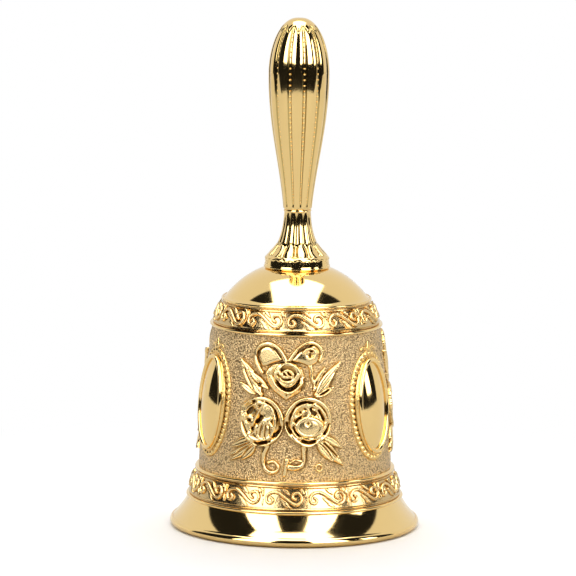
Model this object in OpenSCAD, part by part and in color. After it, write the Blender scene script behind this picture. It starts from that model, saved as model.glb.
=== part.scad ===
// Ornate hand bell: a cast cup, a ribbed handle on a petalled foot, and a clapper on a link.
// The bell stands on its lip at z = 0, and its front, with the first rose spray, faces -Y.

/* [Cup] */
// Widest diameter, at the lip
lip_d = 66.5; // [60:0.5:72]
// Height from the lip to the flat seat of the handle
cup_h = 69; // [64:0.5:90]
// Diameter of the wall just above the lower band
waist_d = 51.2; // [48:0.2:54]
// Diameter of the wall just under the upper band
shoulder_d = 44.4; // [40:0.2:48]
// Diameter of the flat seat at the top
seat_d = 18.4; // [18:0.1:24]
// Thickness of the wall
wall = 1.9; // [1.4:0.1:2.6]
// Radius of the rounded edge of the lip
lip_edge_r = 1.25; // [1:0.05:1.6]
// Width of the flat ring that the bell stands on
lip_flat = 1; // [0.6:0.1:1.6]

/* [Bands] */
// Height of the lower band's bottom bead
low_band_z = 8.3; // [8:0.1:11]
// Height of the lower band, bead to bead
low_band_h = 7.4; // [6:0.1:9]
// Drop from the seat to the upper band's bottom bead
high_band_drop = 14.7; // [14:0.1:17]
// Height of the upper band, bead to bead
high_band_h = 6.7; // [5.5:0.1:8]
// How far the bands stand proud of the wall
band_proud = 0.6; // [0.5:0.05:1]
// Radius of the beads that edge the bands
bead_r = 0.45; // [0.3:0.05:0.6]
// Scrolls around the lower band
low_scrolls = 15; // [9:3:18]
// Scrolls around the upper band
high_scrolls = 12; // [9:3:15]
// Radius of the scrolls' raised line
scroll_wire_r = 0.42; // [0.3:0.02:0.5]
// Radius of a scroll's two curls
scroll_r = 2; // [1.6:0.1:2.1]
// How far a scroll's left curl hangs below the band's middle, and its right curl stands above it
scroll_rise = 0.5; // [0.2:0.1:0.6]
// Gap between the two curls of a scroll, middle to middle of their lines
scroll_gap = 1.1; // [0.9:0.1:1.4]
// How far round each curl of a scroll turns, in degrees
scroll_sweep = 265; // [180:5:270]

/* [Medallions and roses] */
// Height of an oval medallion's polished dome
oval_h = 22.8; // [16:0.2:24]
// Width of an oval medallion's polished dome
oval_w = 10.4; // [8:0.2:12]
// Radius of the round rim about each oval
oval_rim_r = 0.75; // [0.5:0.05:1]
// How far an oval's dome stands proud of its rim's middle
oval_crown = 1.1; // [0.6:0.1:1.6]
// How far the ovals' rims stand proud of the wall
oval_boss = 1.2; // [0.7:0.1:1.6]
// How far the ovals' middle stands below the middle of the wall
oval_drop = 0.4; // [0:0.1:2]
// Diameter of the two lower roses of each spray
rose_d = 11.4; // [9:0.2:12]
// Diameter of the upper rose of each spray
small_rose_d = 9.6; // [8:0.2:10]
// How far the roses stand proud of the wall
rose_proud = 1.3; // [0.8:0.1:1.6]
// Radius of the raised edge of a rose's petal
petal_edge_r = 0.45; // [0.3:0.05:0.6]
// How far a leaf stands proud of the wall
leaf_proud = 0.8; // [0.5:0.05:1]

/* [Handle] */
// Height of the foot, from the seat to the grip
foot_h = 15.7; // [14:0.1:20]
// Diameter of the foot's round ring
foot_ring_d = 17.9; // [16:0.1:18]
// Height of the foot's round ring
foot_ring_h = 2; // [1.6:0.1:2.6]
// Diameter of the petals where they spring from the ring
petal_d = 17; // [15:0.1:17.6]
// Height of the petals above the ring
petal_h = 4.8; // [4:0.1:6]
// Diameter of the neck
neck_d = 7.2; // [6.4:0.1:8]
// Depth of the grooves between the petals
petal_depth = 0.9; // [0.5:0.05:1.2]
// Height of the fine collar at the neck
collar_h = 0.8; // [0.6:0.1:1.2]
// Petals around the foot
petals = 12; // [8:1:16]
// Length of the grip
grip_len = 50.7; // [46:0.1:64]
// Height of the grip's belly above the neck
grip_belly = 36; // [28:0.1:40]
// Widest diameter of the grip
grip_d = 16.1; // [13:0.1:20]
// Diameter of the smooth cap on top of the grip
cap_d = 6; // [5:0.1:8]
// Diameter over which the grip's top rounds over to the cap
top_round_d = 10.2; // [8:0.1:12]
// Ribs around the grip
ribs = 12; // [8:1:14]
// Depth of the grooves between the ribs
groove = 0.6; // [0.3:0.02:0.7]

/* [Bolt and clapper] */
// Diameter of the eye bolt's shank
bolt_d = 4; // [3:0.1:4.4]
// Length of bolt that is screwed into the grip
bolt_in_grip = 20; // [12:0.5:26]
// Clearance around the bolt in the crown and in the foot, on the radius
bolt_clear = 0.2; // [0.1:0.05:0.4]
// Diameter of the washer under the crown
washer_d = 12; // [9:0.1:12.4]
// Thickness of the washer
washer_t = 1; // [0.6:0.1:1.4]
// Thickness of the split washer
lock_t = 0.9; // [0.7:0.1:1.2]
// Width of the split washer's section
lock_w = 1.3; // [1:0.1:1.6]
// Width of the nut across its flats
nut_af = 7; // [6.6:0.1:8]
// Height of the nut
nut_h = 3.2; // [2.4:0.1:4]
// Length of bolt between the nut and the eye
bolt_tail = 1.2; // [0.6:0.1:3]
// Wire radius of the eye
eye_wire_r = 1; // [0.8:0.05:1.2]
// Radius of the eye, to the middle of its wire
eye_r = 3.2; // [3:0.1:4]
// Wire radius of the link
link_wire_r = 0.8; // [0.6:0.05:0.9]
// Radius of the link's round ends, to the middle of the wire
link_r = 2.6; // [2.4:0.1:3]
// Length of the link's straight sides
link_side = 4; // [3:0.1:6]
// Gap where one loop hangs in the next
hang_gap = 0.05; // [0.03:0.01:0.1]
// Wire radius of the clapper's loop
loop_wire_r = 0.9; // [0.7:0.05:1]
// Radius of the clapper's loop, to the middle of its wire
loop_r = 2.7; // [2.5:0.1:3.2]
// Diameter of the clapper's shank
shank_d = 2.8; // [2:0.1:3.6]
// Diameter of the clapper's ball
ball_d = 12.6; // [10:0.2:15]
// Height of the ball's middle above the lip
ball_z = 14.5; // [12:0.1:20]
// Length of the cone under the clapper's loop
shank_shoulder = 1.5; // [1:0.1:3]
// Diameter of the shank's threaded end
shank_end_d = 2; // [1.6:0.1:2.2]
// Height of the small nut under the ball
end_nut_h = 2.2; // [1.6:0.1:2.6]
// Width of the small nut across its flats
end_nut_af = 4; // [3.6:0.1:5]

/* [Hidden] */
$fn = 64;
GOLD = "goldenrod";
STEEL = "silver";
SPRAYS = 3;
// Where the roses of a spray stand above the middle of the wall
LOW_ROSE_UP = -3;
HIGH_ROSE_UP = 8.6;
// The leaves on a spray's right: place along and up the wall, turn, length and width
LEAVES = [
    [9.4, 9.3, -50, 10, 3.8],
    [12.8, 5, -75, 7.4, 3.2],
    [13.2, -10.6, -128, 9.6, 3.8],
    [10, -12.9, -150, 7.4, 3]];
// A bow's loop and a stem's hook on a spray's right: place, radius, start and sweep of the curl
BOW = [5.2, 15.3, 2, -60, 240];
HOOK = [4.4, -12.4, 2.4, 210, 180];

low_band_top = low_band_z + low_band_h;
high_band_z = cup_h - high_band_drop;
high_band_top = high_band_z + high_band_h;
panel_mid = (low_band_top + high_band_z) / 2;
grip_z = cup_h + foot_h;
bolt_top = grip_z + bolt_in_grip;
crown_under = cup_h - wall - 0.3;
washer_z = crown_under - washer_t;
lock_z = washer_z - lock_t;
nut_z = lock_z - nut_h;
eye_z = nut_z - bolt_tail - eye_r;
eye_wire_z = eye_z - eye_r;
link_top = eye_wire_z + eye_wire_r + link_wire_r + hang_gap;
link_z = link_top - link_r - link_side / 2;
link_wire_z = link_top - 2 * link_r - link_side;
loop_z = link_wire_z + link_wire_r + loop_wire_r + hang_gap - loop_r;
// The ball is faced flat where the shank's shoulder and the small nut seat on it
ball_seat = sqrt(ball_d * ball_d - end_nut_af * end_nut_af) / 2;
end_nut_z = ball_z - ball_seat - end_nut_h;
cap_flat_r = cap_d / 8;

// A point on a quadratic curve from a to c that bends towards b
function bend(a, b, c, t) = (1 - t) * (1 - t) * a + 2 * t * (1 - t) * b + t * t * c;
// The points of such a curve, without its first
function curve(a, b, c, steps) = [for (i = [1 : steps]) bend(a, b, c, i / steps)];
// A point on a cubic curve from a to d that bends towards b and then c
function cubic(a, b, c, d, t) = let (u = 1 - t)
    u * u * u * a + 3 * u * u * t * b + 3 * u * t * t * c + t * t * t * d;
// The points of an arc about a centre, from one angle to another
function arc(centre, r, from, to, steps) = [for (i = [0 : steps])
    let (a = from + (to - from) * i / steps) centre + r * [cos(a), sin(a)]];

// The wall's outer radius at a height: it leans in evenly, and faster towards the shoulder
function panel_share(z) = (z - low_band_top) / (high_band_z - low_band_top);
function wall_r(z) = let (t = panel_share(z))
    waist_d / 2 - (waist_d - shoulder_d) / 2 * (0.35 * t + 0.65 * t * t);
// The wall's lean from upright at a height, in degrees
function wall_lean(z) = atan((wall_r(z - 0.5) - wall_r(z + 0.5)) / 1);

low_band_foot_r = waist_d / 2 + 2.9;
low_band_head_r = waist_d / 2 + band_proud;
high_band_foot_r = shoulder_d / 2 + band_proud / 2;
high_band_head_r = shoulder_d / 2 - 2.7;
PANEL_STEPS = 8;

module bell_outside() {
    lip_edge = [lip_d / 2 - lip_edge_r, lip_edge_r];
    flare_top = [low_band_foot_r, low_band_z];
    flare_foot = lip_edge + lip_edge_r * [cos(70), sin(70)];
    dome_foot = [high_band_head_r - 0.4, high_band_top];
    dome_bend = [dome_foot[0] * 0.82, cup_h - 2];
    rotate_extrude()
        polygon(concat(
            [[0, 0]],
            arc(lip_edge, lip_edge_r, -90, 70, 8),
            curve(flare_foot, [low_band_foot_r + 1.1, low_band_z * 0.54], flare_top, 8),
            [[low_band_head_r, low_band_top], [waist_d / 2, low_band_top]],
            [for (i = [1 : PANEL_STEPS])
                let (z = low_band_top + (high_band_z - low_band_top) * i / PANEL_STEPS) [wall_r(z), z]],
            [[high_band_foot_r, high_band_z], [high_band_head_r, high_band_top], dome_foot],
            curve(dome_foot, dome_bend, [seat_d / 2, cup_h], 8),
            [[0, cup_h]]));
}

module bell_inside() {
    mouth_r = lip_d / 2 - lip_edge_r - lip_flat;
    throat = [low_band_foot_r - wall, low_band_z];
    inner = [for (i = [0 : PANEL_STEPS])
        let (z = low_band_top + (high_band_z - low_band_top) * i / PANEL_STEPS) [wall_r(z) - wall, z]];
    shoulder = [high_band_head_r - wall, high_band_top - wall / 2];
    rotate_extrude()
        polygon(concat(
            [[0, -1], [mouth_r, -1], [mouth_r, 0]],
            curve([mouth_r, 0], [throat[0] + 0.6, low_band_z * 0.4], throat, 6),
            inner,
            [shoulder],
            curve(shoulder, [shoulder[0] * 0.76, crown_under - 1.2], [washer_d / 2 + 0.5, crown_under], 6),
            [[0, crown_under]]));
}

module ring_bead(r, z) {
    translate([0, 0, z]) rotate_extrude() translate([r, 0]) circle(r = bead_r);
}

// Lays ornament on the wall: x runs right, y up the wall and z outwards, seen from outside
module on_wall(turn, r, z, lean) {
    rotate([0, 0, turn]) translate([0, -r, z]) rotate([90 - lean, 0, 0]) children();
}

// A curl of raised line, from one angle through a sweep
module curl(r, from, sweep) {
    rotate([0, 0, from]) rotate_extrude(angle = sweep)
        translate([r, 0]) circle(r = scroll_wire_r, $fn = 16);
}

// A band of S-shaped scrolls: each is two curls that all but meet at its middle and turn opposite ways
module scroll_band(count, foot_r, foot_z, head_r, head_z) {
    mid_z = (foot_z + head_z) / 2;
    mid_r = (foot_r + head_r) / 2;
    lean = atan((foot_r - head_r) / (head_z - foot_z));
    half_step = asin((scroll_r + scroll_gap / 2) / mid_r);
    for (i = [0 : count - 1]) {
        turn = 360 / count * (i + 0.5);
        for (side = [-1, 1])
            on_wall(turn + side * half_step, mid_r, mid_z, lean) translate([0, side * scroll_rise, 0])
                curl(scroll_r, side < 0 ? 5 : 185, scroll_sweep);
    }
}

module medallion(turn) {
    z = panel_mid - oval_drop;
    rim_h = oval_h / 2 + oval_rim_r;
    rim_w = oval_w / 2 + oval_rim_r;
    on_wall(turn, wall_r(z), z, wall_lean(z)) {
        translate([0, 0, -wall]) scale([rim_w, rim_h, 1]) cylinder(r = 1, h = wall + oval_boss);
        translate([0, 0, oval_boss]) scale([rim_w, rim_h, 1])
            rotate_extrude() translate([1, 0]) scale([1 / rim_w, 1]) circle(r = oval_rim_r);
        translate([0, 0, oval_boss]) scale([oval_w / 2, oval_h / 2, oval_crown]) sphere(r = 1);
    }
}

// Lays ornament on the wall: x runs right, y up the wall and z outwards, from a spray's own middle
module at_wall(spray, along, up) {
    z = panel_mid + up;
    on_wall(360 / SPRAYS * spray + along / wall_r(z) * 180 / PI, wall_r(z), z, wall_lean(z)) children();
}

// The raised edge of one petal
module petal_edge(r, half_sweep) {
    rotate([0, 0, -half_sweep]) rotate_extrude(angle = 2 * half_sweep)
        translate([r, 0]) circle(r = petal_edge_r, $fn = 16);
}

// An open rose: a low dome with five petals and a curled bud
module rose(d) {
    r = d / 2;
    dome_h = rose_proud * 0.6;
    ball_r = (r * r + dome_h * dome_h) / (2 * dome_h);
    intersection() {
        translate([0, 0, dome_h - ball_r]) sphere(r = ball_r);
        translate([0, 0, -wall / 2]) cylinder(r = r, h = wall + dome_h);
    }
    for (i = [0 : 4]) rotate([0, 0, 72 * i + 18]) translate([0.55 * r, 0, 0.4 * dome_h])
        petal_edge(0.42 * r, 70);
    translate([0.08 * r, 0, 0.95 * dome_h]) petal_edge(0.3 * r, 160);
}

// A leaf: a spindle with pointed ends, sunk in the wall to its proud part
module leaf(turn, l, w) {
    arc_r = (l * l + w * w) / (4 * w);
    rotate([0, 0, turn]) translate([0, 0, leaf_proud - w / 2]) rotate([90, 0, 0]) rotate_extrude()
        intersection() {
            translate([w / 2 - arc_r, 0]) circle(r = arc_r);
            translate([0, -l / 2]) square([w, l]);
        }
}

module spray(i) {
    for (side = [-1, 1]) {
        at_wall(i, side * rose_d * 0.545, LOW_ROSE_UP) rose(rose_d);
        for (row = LEAVES) at_wall(i, side * row[0], row[1]) leaf(side * row[2], row[3], row[4]);
        for (row = [BOW, HOOK]) at_wall(i, side * row[0], row[1])
            mirror([side < 0 ? 1 : 0, 0, 0]) curl(row[2], row[3], row[4]);
    }
    at_wall(i, 0, HIGH_ROSE_UP) rose(small_rose_d);
}

module bell_cup() {
    color(GOLD) difference() {
        union() {
            bell_outside();
            ring_bead(low_band_foot_r, low_band_z);
            ring_bead(low_band_head_r, low_band_top);
            ring_bead(high_band_foot_r, high_band_z);
            ring_bead(high_band_head_r, high_band_top);
            scroll_band(low_scrolls, low_band_foot_r, low_band_z, low_band_head_r, low_band_top);
            scroll_band(high_scrolls, high_band_foot_r, high_band_z, high_band_head_r, high_band_top);
            for (i = [0 : SPRAYS - 1]) {
                medallion(60 + 120 * i);
                spray(i);
            }
        }
        bell_inside();
        translate([0, 0, crown_under - 1]) cylinder(d = bolt_d + 2 * bolt_clear, h = wall + 3);
    }
}

// A turned form with ribs or petals: each row is [height, radius, depth of the grooves]
module ribbed(rows, count, per_rib) {
    around = count * per_rib;
    points = [for (row = rows) for (j = [0 : around - 1])
        let (a = 360 * j / around, r = row[1] - row[2] * (1 - abs(sin(count * a / 2))))
            [r * sin(a), -r * cos(a), row[0]]];
    sides = [for (i = [0 : len(rows) - 2]) for (j = [0 : around - 1])
        let (k = (j + 1) % around, low = i * around, high = low + around)
            each [[low + j, high + j, high + k], [low + j, high + k, low + k]]];
    bottom = [for (j = [0 : around - 1]) j];
    top = [for (j = [around - 1 : -1 : 0]) (len(rows) - 1) * around + j];
    polyhedron(points = points, faces = concat(sides, [bottom, top]));
}

module handle_foot() {
    round_r = foot_ring_h / 2;
    round_span = 70;
    ring = [for (i = [0 : 4]) let (a = round_span * (i / 2 - 1))
        [round_r * (1 + sin(a) / sin(round_span)), foot_ring_d / 2 - round_r * (1 - cos(a)), 0]];
    tip_r = neck_d / 2 + 1.6;
    petal_rows = [for (i = [0 : 6]) let (t = i / 6)
        [foot_ring_h + 0.15 + (petal_h - 0.15) * t,
            bend(petal_d / 2 - 0.5, petal_d / 2 + 0.9, tip_r, t), petal_depth * sin(20 + 140 * t)]];
    flare_foot = foot_ring_h + petal_h + 0.4;
    flare_rows = [for (i = [0 : 4]) let (t = i / 4)
        [flare_foot + (foot_h - collar_h - 0.3 - flare_foot) * t,
            bend(tip_r - 0.2, neck_d / 2 + 0.35, neck_d / 2, t), petal_depth * (0.5 - 0.2 * t)]];
    collar_rows = [
        [foot_h - collar_h, neck_d / 2 + 0.25, 0],
        [foot_h - 0.25, neck_d / 2 + 0.25, 0],
        [foot_h, neck_d / 2, 0]];
    color(GOLD) translate([0, 0, cup_h]) difference() {
        ribbed(concat(ring, petal_rows, flare_rows, collar_rows), petals, 4);
        translate([0, 0, -1]) cylinder(d = bolt_d + 2 * bolt_clear, h = foot_h + 2);
    }
}

// The grip swells from the neck to the belly on one curve, and rounds over to its cap on another
module handle_grip() {
    neck = [0, neck_d / 2];
    belly = [grip_belly, grip_d / 2];
    lower = [for (i = [0 : 13])
        cubic(neck, [belly[0] / 3, neck[1] + 1.05], [belly[0] * 0.61, belly[1]], belly, i / 14)];
    upper = [for (i = [0 : 9])
        cubic(belly, [(belly[0] + grip_len) / 2, belly[1]], [grip_len - 0.2, top_round_d / 2],
            [grip_len, cap_flat_r], i / 9)];
    rows = [for (row = concat(lower, upper))
        [row[0], row[1], groove * row[1] / belly[1] * min(1, row[0] / 3, max(0, row[1] - cap_d / 2) / 2)]];
    color(GOLD) translate([0, 0, grip_z]) difference() {
        ribbed(rows, ribs, 6);
        translate([0, 0, -1]) cylinder(d = bolt_d, h = bolt_in_grip + 1);
    }
}

module ring(r, wire_r) {
    rotate_extrude() translate([r, 0]) circle(r = wire_r, $fn = 32);
}

module eye_bolt() {
    neck_h = 1.2;
    neck_z = nut_z - bolt_tail;
    color(STEEL) {
        translate([0, 0, neck_z + neck_h]) cylinder(d = bolt_d, h = bolt_top - neck_z - neck_h);
        translate([0, 0, neck_z - 0.3]) cylinder(r1 = eye_wire_r * 0.8, r2 = bolt_d / 2, h = neck_h + 0.3);
        translate([0, 0, eye_z]) rotate([90, 0, 0]) ring(eye_r, eye_wire_r);
    }
}

module crown_washer() {
    color(STEEL) translate([0, 0, washer_z]) difference() {
        cylinder(d = washer_d, h = washer_t);
        translate([0, 0, -1]) cylinder(d = bolt_d + 2 * bolt_clear, h = washer_t + 2);
    }
}

// A split ring of square section, squeezed flat between the nut and the washer
module lock_washer() {
    split = 12;
    color(STEEL) translate([0, 0, lock_z]) rotate([0, 0, split])
        rotate_extrude(angle = 360 - split)
            translate([bolt_d / 2 + bolt_clear, 0]) square([lock_w, lock_t]);
}

// A hexagon nut with its corners turned off at both ends
module hex_nut(af, h, bore_d) {
    corner_r = af / sqrt(3);
    bevel = corner_r - af / 2;
    difference() {
        intersection() {
            cylinder(r = corner_r, h = h, $fn = 6);
            rotate_extrude()
                polygon([[0, 0], [af / 2, 0], [corner_r, bevel * 0.6],
                    [corner_r, h - bevel * 0.6], [af / 2, h], [0, h]]);
        }
        translate([0, 0, -1]) cylinder(d = bore_d, h = h + 2);
    }
}

module crown_nut() {
    color(STEEL) translate([0, 0, nut_z]) hex_nut(nut_af, nut_h, bolt_d);
}

// A chain link with two round ends and two straight sides, lying in the YZ plane
module clapper_link() {
    half = link_side / 2;
    color(STEEL) translate([0, 0, link_z]) rotate([90, 0, 90]) {
        for (end = [0, 180]) rotate([0, 0, end]) translate([0, half, 0])
            rotate_extrude(angle = 180) translate([link_r, 0]) circle(r = link_wire_r, $fn = 32);
        for (side = [-1, 1]) translate([side * link_r, -half, 0]) rotate([-90, 0, 0])
            cylinder(r = link_wire_r, h = link_side);
    }
}

module clapper_shank() {
    rod_top = loop_z - loop_r;
    ball_top = ball_z + ball_seat;
    color(STEEL) {
        translate([0, 0, loop_z]) rotate([90, 0, 0]) ring(loop_r, loop_wire_r);
        translate([0, 0, rod_top - shank_shoulder])
            cylinder(r1 = shank_d / 2, r2 = loop_wire_r * 0.8, h = shank_shoulder);
        translate([0, 0, ball_top]) cylinder(d = shank_d, h = rod_top - shank_shoulder - ball_top);
        translate([0, 0, end_nut_z]) cylinder(d = shank_end_d, h = ball_top + shank_end_d - end_nut_z);
    }
}

module clapper_ball() {
    color(STEEL) translate([0, 0, ball_z]) difference() {
        intersection() {
            sphere(d = ball_d);
            translate([0, 0, -ball_seat]) cylinder(d = ball_d + 1, h = 2 * ball_seat);
        }
        translate([0, 0, -ball_d]) cylinder(d = shank_end_d, h = 2 * ball_d);
    }
}

module clapper_nut() {
    color(STEEL) translate([0, 0, end_nut_z]) hex_nut(end_nut_af, end_nut_h, shank_end_d);
}

bell_cup();
handle_foot();
handle_grip();
eye_bolt();
crown_washer();
lock_washer();
crown_nut();
clapper_link();
clapper_shank();
clapper_ball();
clapper_nut();
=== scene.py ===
# Ornate gilt hand bell: the finish of every piece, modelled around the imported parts.
import math
import bmesh
import bpy
import numpy as np
from mathutils import Matrix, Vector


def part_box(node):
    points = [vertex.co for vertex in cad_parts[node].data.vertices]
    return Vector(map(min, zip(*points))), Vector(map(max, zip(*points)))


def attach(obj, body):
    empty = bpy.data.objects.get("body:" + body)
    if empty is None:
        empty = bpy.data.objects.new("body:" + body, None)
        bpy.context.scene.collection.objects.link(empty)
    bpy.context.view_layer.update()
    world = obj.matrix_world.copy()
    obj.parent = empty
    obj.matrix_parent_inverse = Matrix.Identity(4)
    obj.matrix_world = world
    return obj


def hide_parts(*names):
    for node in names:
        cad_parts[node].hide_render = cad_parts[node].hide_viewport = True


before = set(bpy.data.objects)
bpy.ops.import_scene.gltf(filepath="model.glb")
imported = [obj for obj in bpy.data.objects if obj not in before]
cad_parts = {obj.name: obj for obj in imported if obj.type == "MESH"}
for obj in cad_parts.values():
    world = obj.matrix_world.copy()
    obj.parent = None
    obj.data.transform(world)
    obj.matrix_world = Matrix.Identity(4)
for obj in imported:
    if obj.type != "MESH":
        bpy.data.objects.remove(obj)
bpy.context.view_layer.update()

# Lengths in the modelling code are millimetres, and each finished piece is scaled to metres
MM = 0.001


def highest_corner(name):
    """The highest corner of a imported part's box, in millimetres."""
    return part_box(name)[1] / MM


LIP_R = highest_corner("bell_cup").x
CUP_H = highest_corner("bell_cup").z
FOOT_TOP = highest_corner("handle_foot").z
GRIP_TOP = highest_corner("handle_grip").z


# The cup's outline

LIP_EDGE_R = 1.25
# The fillet over the lip's round edge, out from and above its middle
LIP_FILLET = [(0.47, 1.06), (0.36, 1.22)]
LIP_FLAT = 1.0
WALL = 1.9
LOW_BAND_Z, LOW_BAND_TOP = 8.3, 15.7
HIGH_BAND_Z, HIGH_BAND_TOP = CUP_H - 14.7, CUP_H - 8.0
WAIST_R, SHOULDER_R = 25.6, 22.2
LOW_FOOT_R, LOW_HEAD_R = 28.5, 26.2
HIGH_FOOT_R, HIGH_HEAD_R = 22.5, 19.5
SEAT_R = 9.2
BOLT_HOLE_R = 2.2
WASHER_FLAT_R = 6.5
CROWN_EXTRA = 0.3
CROWN_UNDER = CUP_H - WALL - CROWN_EXTRA
BEAD_R = 0.45
# The groove and the thin fillet beside a bead, away from it and out
BAND_EDGE = [(0.45, -0.3), (0.6, -0.32), (0.75, 0.02), (0.95, 0.1), (1.15, 0.0), (1.25, -0.2)]
EDGE_MIDDLE = 0.8
# Where a band's ground ends below its upper bead, and how deep it lies
GROUND_END, GROUND_SUNK = 1.35, 0.2
# Where the curves bend towards
FLARE_OUT, FLARE_UP = 1.33, 0.6
DOME_IN, DOME_DOWN = 0.785, 2.3
CEILING_IN, CEILING_DOWN = 0.76, 1.2
THROAT_OUT, THROAT_UP = 0.6, 0.4
PANEL_MID = (LOW_BAND_TOP + HIGH_BAND_Z) / 2
PANEL_ROWS = 100


def wall_r(z):
    """Radius of the panel's ground at a height, or at an array of heights."""
    t = (z - LOW_BAND_TOP) / (HIGH_BAND_Z - LOW_BAND_TOP)
    return WAIST_R - (WAIST_R - SHOULDER_R) * (0.35 * t + 0.65 * t * t)


def low_band_r(z):
    return LOW_FOOT_R + (LOW_HEAD_R - LOW_FOOT_R) * (z - LOW_BAND_Z) / (LOW_BAND_TOP - LOW_BAND_Z)


def high_band_r(z):
    return HIGH_FOOT_R + (HIGH_HEAD_R - HIGH_FOOT_R) * (z - HIGH_BAND_Z) / (HIGH_BAND_TOP - HIGH_BAND_Z)


def spiral(centre, r_start, r_end, start, end, steps=16):
    points = []
    for i in range(steps + 1):
        a = math.radians(start + (end - start) * i / steps)
        r = r_start + (r_end - r_start) * i / steps
        points.append((centre[0] + r * math.cos(a), centre[1] + r * math.sin(a)))
    return points


def arc(centre, r, start, end, steps):
    return spiral(centre, r, r, start, end, steps)


def bend(a, b, c, steps):
    """Points on a quadratic curve from a to c that bends towards b, without its first."""
    shares = [i / steps for i in range(1, steps + 1)]
    return [tuple((1 - t) ** 2 * p + 2 * t * (1 - t) * q + t * t * r for p, q, r in zip(a, b, c))
            for t in shares]


def straight(a, b, steps):
    return [(a[0] + (b[0] - a[0]) * i / steps, a[1] + (b[1] - a[1]) * i / steps) for i in range(1, steps + 1)]


def bead(r, z, start, end):
    return arc((r, z), BEAD_R, start, end, 6)


def band_edge(r, z, up):
    """The section beside a bead: up is 1 above the bead and -1 below it."""
    edge = [(r + out, z + up * away) for away, out in BAND_EDGE]
    return edge if up > 0 else edge[::-1]


def band_line(foot_r, foot_z, head_r, head_z, radius_at):
    """A band's section between its two beads."""
    lean = (foot_r - head_r) / (head_z - foot_z)
    line = band_edge(foot_r - lean * EDGE_MIDDLE, foot_z, 1)
    line += straight(line[-1], (radius_at(head_z - GROUND_END) - GROUND_SUNK, head_z - GROUND_END), 8)
    return line + band_edge(head_r + lean * EDGE_MIDDLE, head_z, -1)


def cup_outline():
    """The cup's section, from the standing ring out, up to the crown's hole, and down inside."""
    edge_r = LIP_R - LIP_EDGE_R
    outline = arc((edge_r, LIP_EDGE_R), LIP_EDGE_R, -90, 62, 12)
    outline += [(edge_r + out, LIP_EDGE_R + up) for out, up in LIP_FILLET]
    outline += bend(outline[-1], (LOW_FOOT_R + FLARE_OUT, LOW_BAND_Z * FLARE_UP),
                    (LOW_FOOT_R, LOW_BAND_Z - BEAD_R), 26)
    outline += bead(LOW_FOOT_R, LOW_BAND_Z, -75, 60)
    outline += band_line(LOW_FOOT_R, LOW_BAND_Z, LOW_HEAD_R, LOW_BAND_TOP, low_band_r)
    outline += bead(LOW_HEAD_R, LOW_BAND_TOP, -60, 90)
    panel_h = HIGH_BAND_Z - LOW_BAND_TOP - 2 * BEAD_R
    heights = [LOW_BAND_TOP + BEAD_R + panel_h * i / PANEL_ROWS for i in range(PANEL_ROWS + 1)]
    outline += [(wall_r(z), z) for z in heights]
    outline += bead(HIGH_FOOT_R, HIGH_BAND_Z, -90, 50)
    outline += band_line(HIGH_FOOT_R, HIGH_BAND_Z, HIGH_HEAD_R, HIGH_BAND_TOP, high_band_r)
    outline += bead(HIGH_HEAD_R, HIGH_BAND_TOP, -50, 120)
    dome_foot = (HIGH_HEAD_R - 0.4, HIGH_BAND_TOP + 0.2)
    outline += bend(dome_foot, (dome_foot[0] * DOME_IN, CUP_H - DOME_DOWN), (SEAT_R, CUP_H), 24)
    outline += [(BOLT_HOLE_R, CUP_H), (BOLT_HOLE_R, CROWN_UNDER)]
    shoulder = (HIGH_HEAD_R - WALL, HIGH_BAND_TOP - WALL / 2)
    outline += bend((WASHER_FLAT_R, CROWN_UNDER), (shoulder[0] * CEILING_IN, CROWN_UNDER - CEILING_DOWN),
                    shoulder, 8)
    outline += [(wall_r(z) - WALL, z) for z in np.linspace(HIGH_BAND_Z, LOW_BAND_TOP, 12)]
    throat = (LOW_FOOT_R - WALL, LOW_BAND_Z)
    mouth = (LIP_R - LIP_EDGE_R - LIP_FLAT, 0.0)
    return outline + [throat] + bend(throat, (throat[0] + THROAT_OUT, LOW_BAND_Z * THROAT_UP), mouth, 8)


def repeated(bm, count):
    """Copies everything in a bmesh about the axis, count times in all."""
    first = bm.verts[:] + bm.edges[:] + bm.faces[:]
    for i in range(1, count):
        copy = bmesh.ops.duplicate(bm, geom=first)["geom"]
        bmesh.ops.rotate(bm, verts=[g for g in copy if isinstance(g, bmesh.types.BMVert)], cent=(0, 0, 0),
                         matrix=Matrix.Rotation(2 * math.pi * i / count, 3, "Z"))


def turned(outline, sectors, steps, closed=True):
    """A section in the plane y = 0 turned about the axis: one sector is spun, and then repeated."""
    bm = bmesh.new()
    verts = [bm.verts.new((r, 0, z)) for r, z in outline]
    edges = [bm.edges.new(pair) for pair in zip(verts, verts[1:])]
    if closed:
        edges.append(bm.edges.new((verts[-1], verts[0])))
    bmesh.ops.spin(bm, geom=verts + edges, cent=(0, 0, 0), axis=(0, 0, 1),
                   angle=2 * math.pi / sectors, steps=steps)
    repeated(bm, sectors)
    bmesh.ops.remove_doubles(bm, verts=bm.verts, dist=1e-4)
    bmesh.ops.recalc_face_normals(bm, faces=bm.faces)
    return bm


def placed(name, data):
    obj = bpy.data.objects.new(name, data)
    bpy.context.scene.collection.objects.link(obj)
    return obj


def finished(name, bm, materials, body="bell", sharp=40):
    """Makes a piece of a bmesh in millimetres, with its edges over an angle left sharp."""
    bmesh.ops.scale(bm, vec=(MM, MM, MM), verts=bm.verts)
    mesh = bpy.data.meshes.new(name)
    bm.to_mesh(mesh)
    bm.free()
    mesh.shade_smooth()
    if sharp:
        mesh.set_sharp_from_angle(angle=math.radians(sharp))
    for material in materials:
        mesh.materials.append(material)
    piece = placed(name, mesh)
    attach(piece, body)
    return piece


# Relief: a pattern is drawn as heights above its ground, with x to the right and y up

GROUND = -3.0
# Every cut line is made this much wider and deeper than it is drawn
CUT_SCALE = 1.15
VEIN_DEPTH, VEIN_HALF = 0.3, 0.22


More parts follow.
